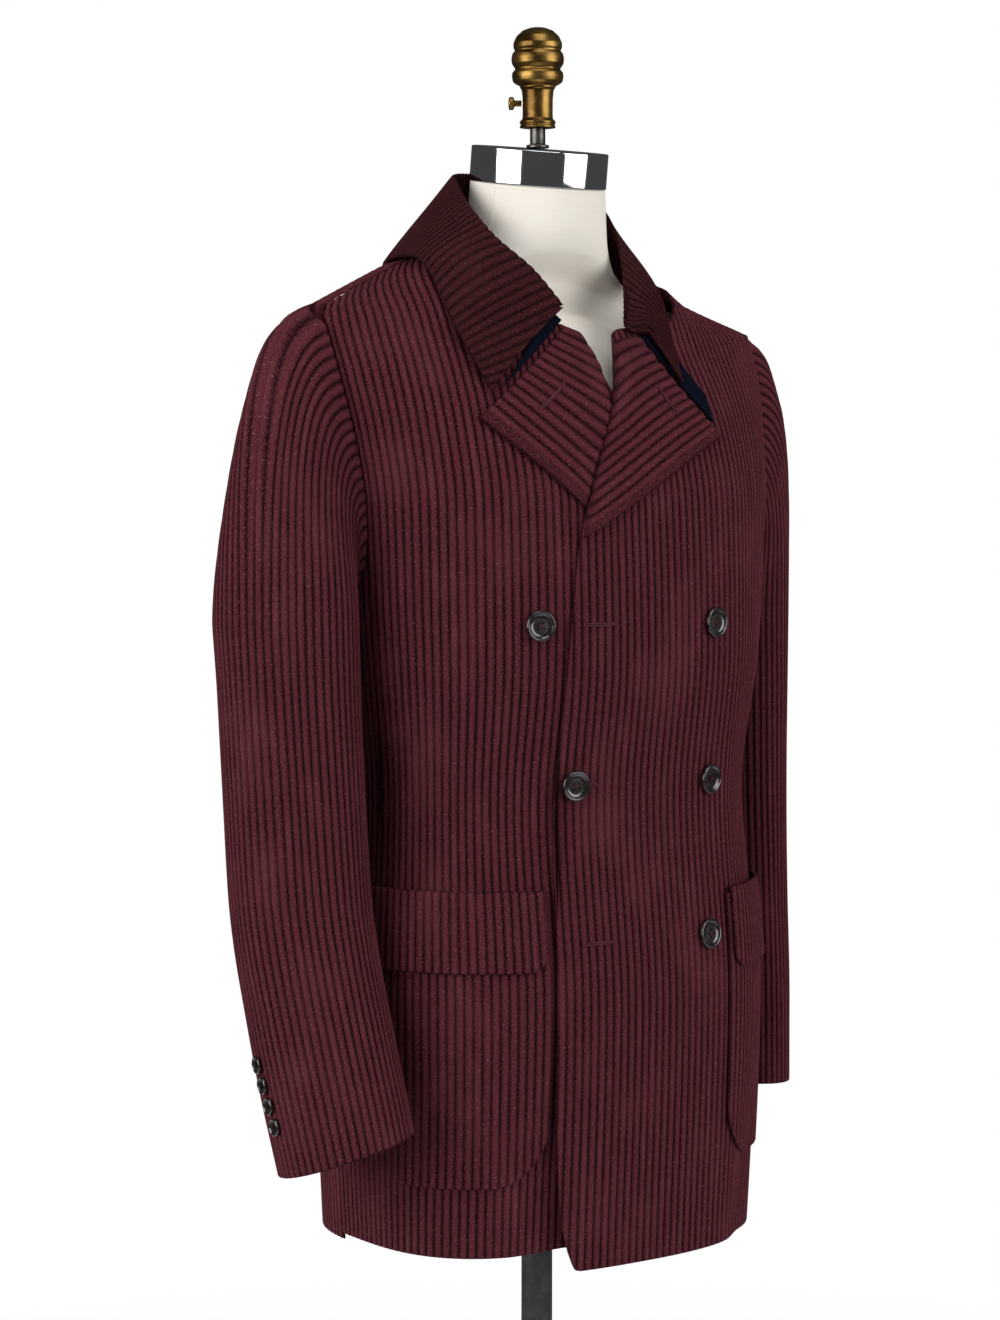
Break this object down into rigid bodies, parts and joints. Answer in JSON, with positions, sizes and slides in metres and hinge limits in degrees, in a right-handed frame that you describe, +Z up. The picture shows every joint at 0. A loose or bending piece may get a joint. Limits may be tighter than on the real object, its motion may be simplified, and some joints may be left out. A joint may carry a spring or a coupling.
{
  "type": "double-breasted corduroy overcoat on a limbless dress form with a round-based stand",
  "caption": "Wide-wale corduroy double-breasted overcoat with notched lapels and flapped patch pockets, worn open-necked on a limbless dress form and stand.",
  "frame": {"origin": "centre of the underside of the stand's base", "axes": "+Z up, front faces -Y, +X is the wearer's left"},
  "size_m": [0.567, 0.41, 1.39],
  "materials": {
    "corduroy": "wide-wale cotton corduroy, matt with a soft nap",
    "undercollar_felt": "navy wool felt",
    "button_horn": "polished dark horn-like resin",
    "form_linen": "cream linen over padding",
    "neck_chrome": "polished chrome",
    "rod_steel": "dark steel",
    "finial_brass": "antique brass",
    "stand_iron": "dark enamelled iron"
  },
  "bodies": {
    "root": {"front_right": "corduroy", "back_right": "corduroy", "front_left": "corduroy", "back_left": "corduroy", "pocket_right": "corduroy", "flap_right": "corduroy", "pocket_left": "corduroy", "flap_left": "corduroy", "sleeve_right_upper": "corduroy", "sleeve_right_under": "corduroy", "sleeve_left_upper": "corduroy", "sleeve_left_under": "corduroy", "lapel_right": "corduroy", "lapel_left": "corduroy", "collar": "corduroy", "undercollar_right": "undercollar_felt", "undercollar_left": "undercollar_felt", "button_fastened": "button_horn", "button_left_top": "button_horn", "button_left_middle": "button_horn", "button_left_low": "button_horn", "button_right_top": "button_horn", "button_cuff_right_1": "button_horn", "button_cuff_right_2": "button_horn", "button_cuff_right_3": "button_horn", "button_cuff_right_4": "button_horn", "button_cuff_left_1": "button_horn", "button_cuff_left_2": "button_horn", "button_cuff_left_3": "button_horn", "button_cuff_left_4": "button_horn", "form_torso": "form_linen", "neck_cap": "neck_chrome", "neck_rod": "rod_steel", "finial": "finial_brass", "thumbscrew": "finial_brass", "stand_base": "stand_iron", "stand_pole": "stand_iron"}
  },
  "joints": []
}
